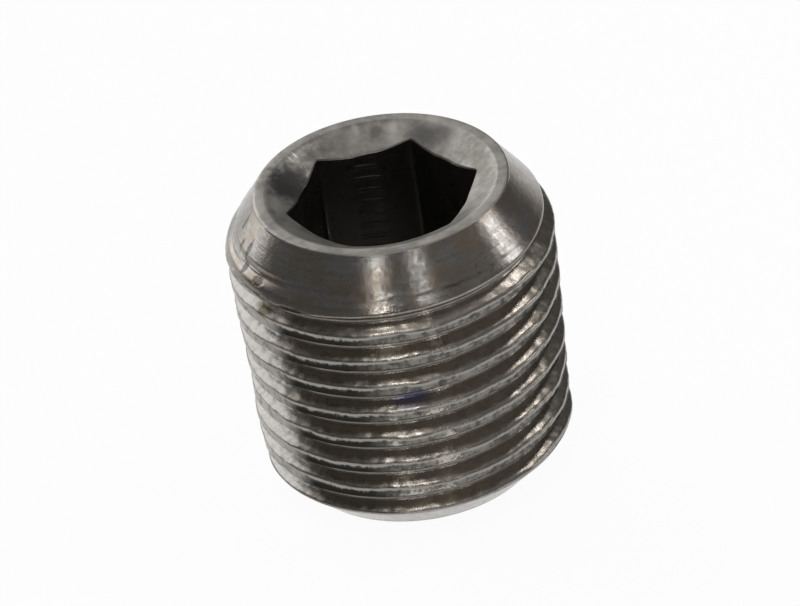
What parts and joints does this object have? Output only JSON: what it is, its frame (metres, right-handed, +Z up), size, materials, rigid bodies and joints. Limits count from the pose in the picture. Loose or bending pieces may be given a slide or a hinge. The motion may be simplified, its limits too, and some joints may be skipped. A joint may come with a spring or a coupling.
{
  "type": "conical screw plug",
  "caption": "Short tapered screw plug with a chamfer at each end and a countersunk hexagon socket; it wedges tight to close a tapped hole.",
  "frame": {"origin": "centre of the small end's flat face, which the plug stands on", "axes": "+Z up the plug's axis to the socket end, +X through two corners of the hexagon, +Y square to two of its flats"},
  "size_m": [0.0078, 0.0078, 0.0078],
  "materials": {
    "blackened_steel": "turned and blackened, lightly oiled, with worn crests and edges"
  },
  "bodies": {
    "root": {"plug": "blackened_steel"}
  },
  "joints": []
}
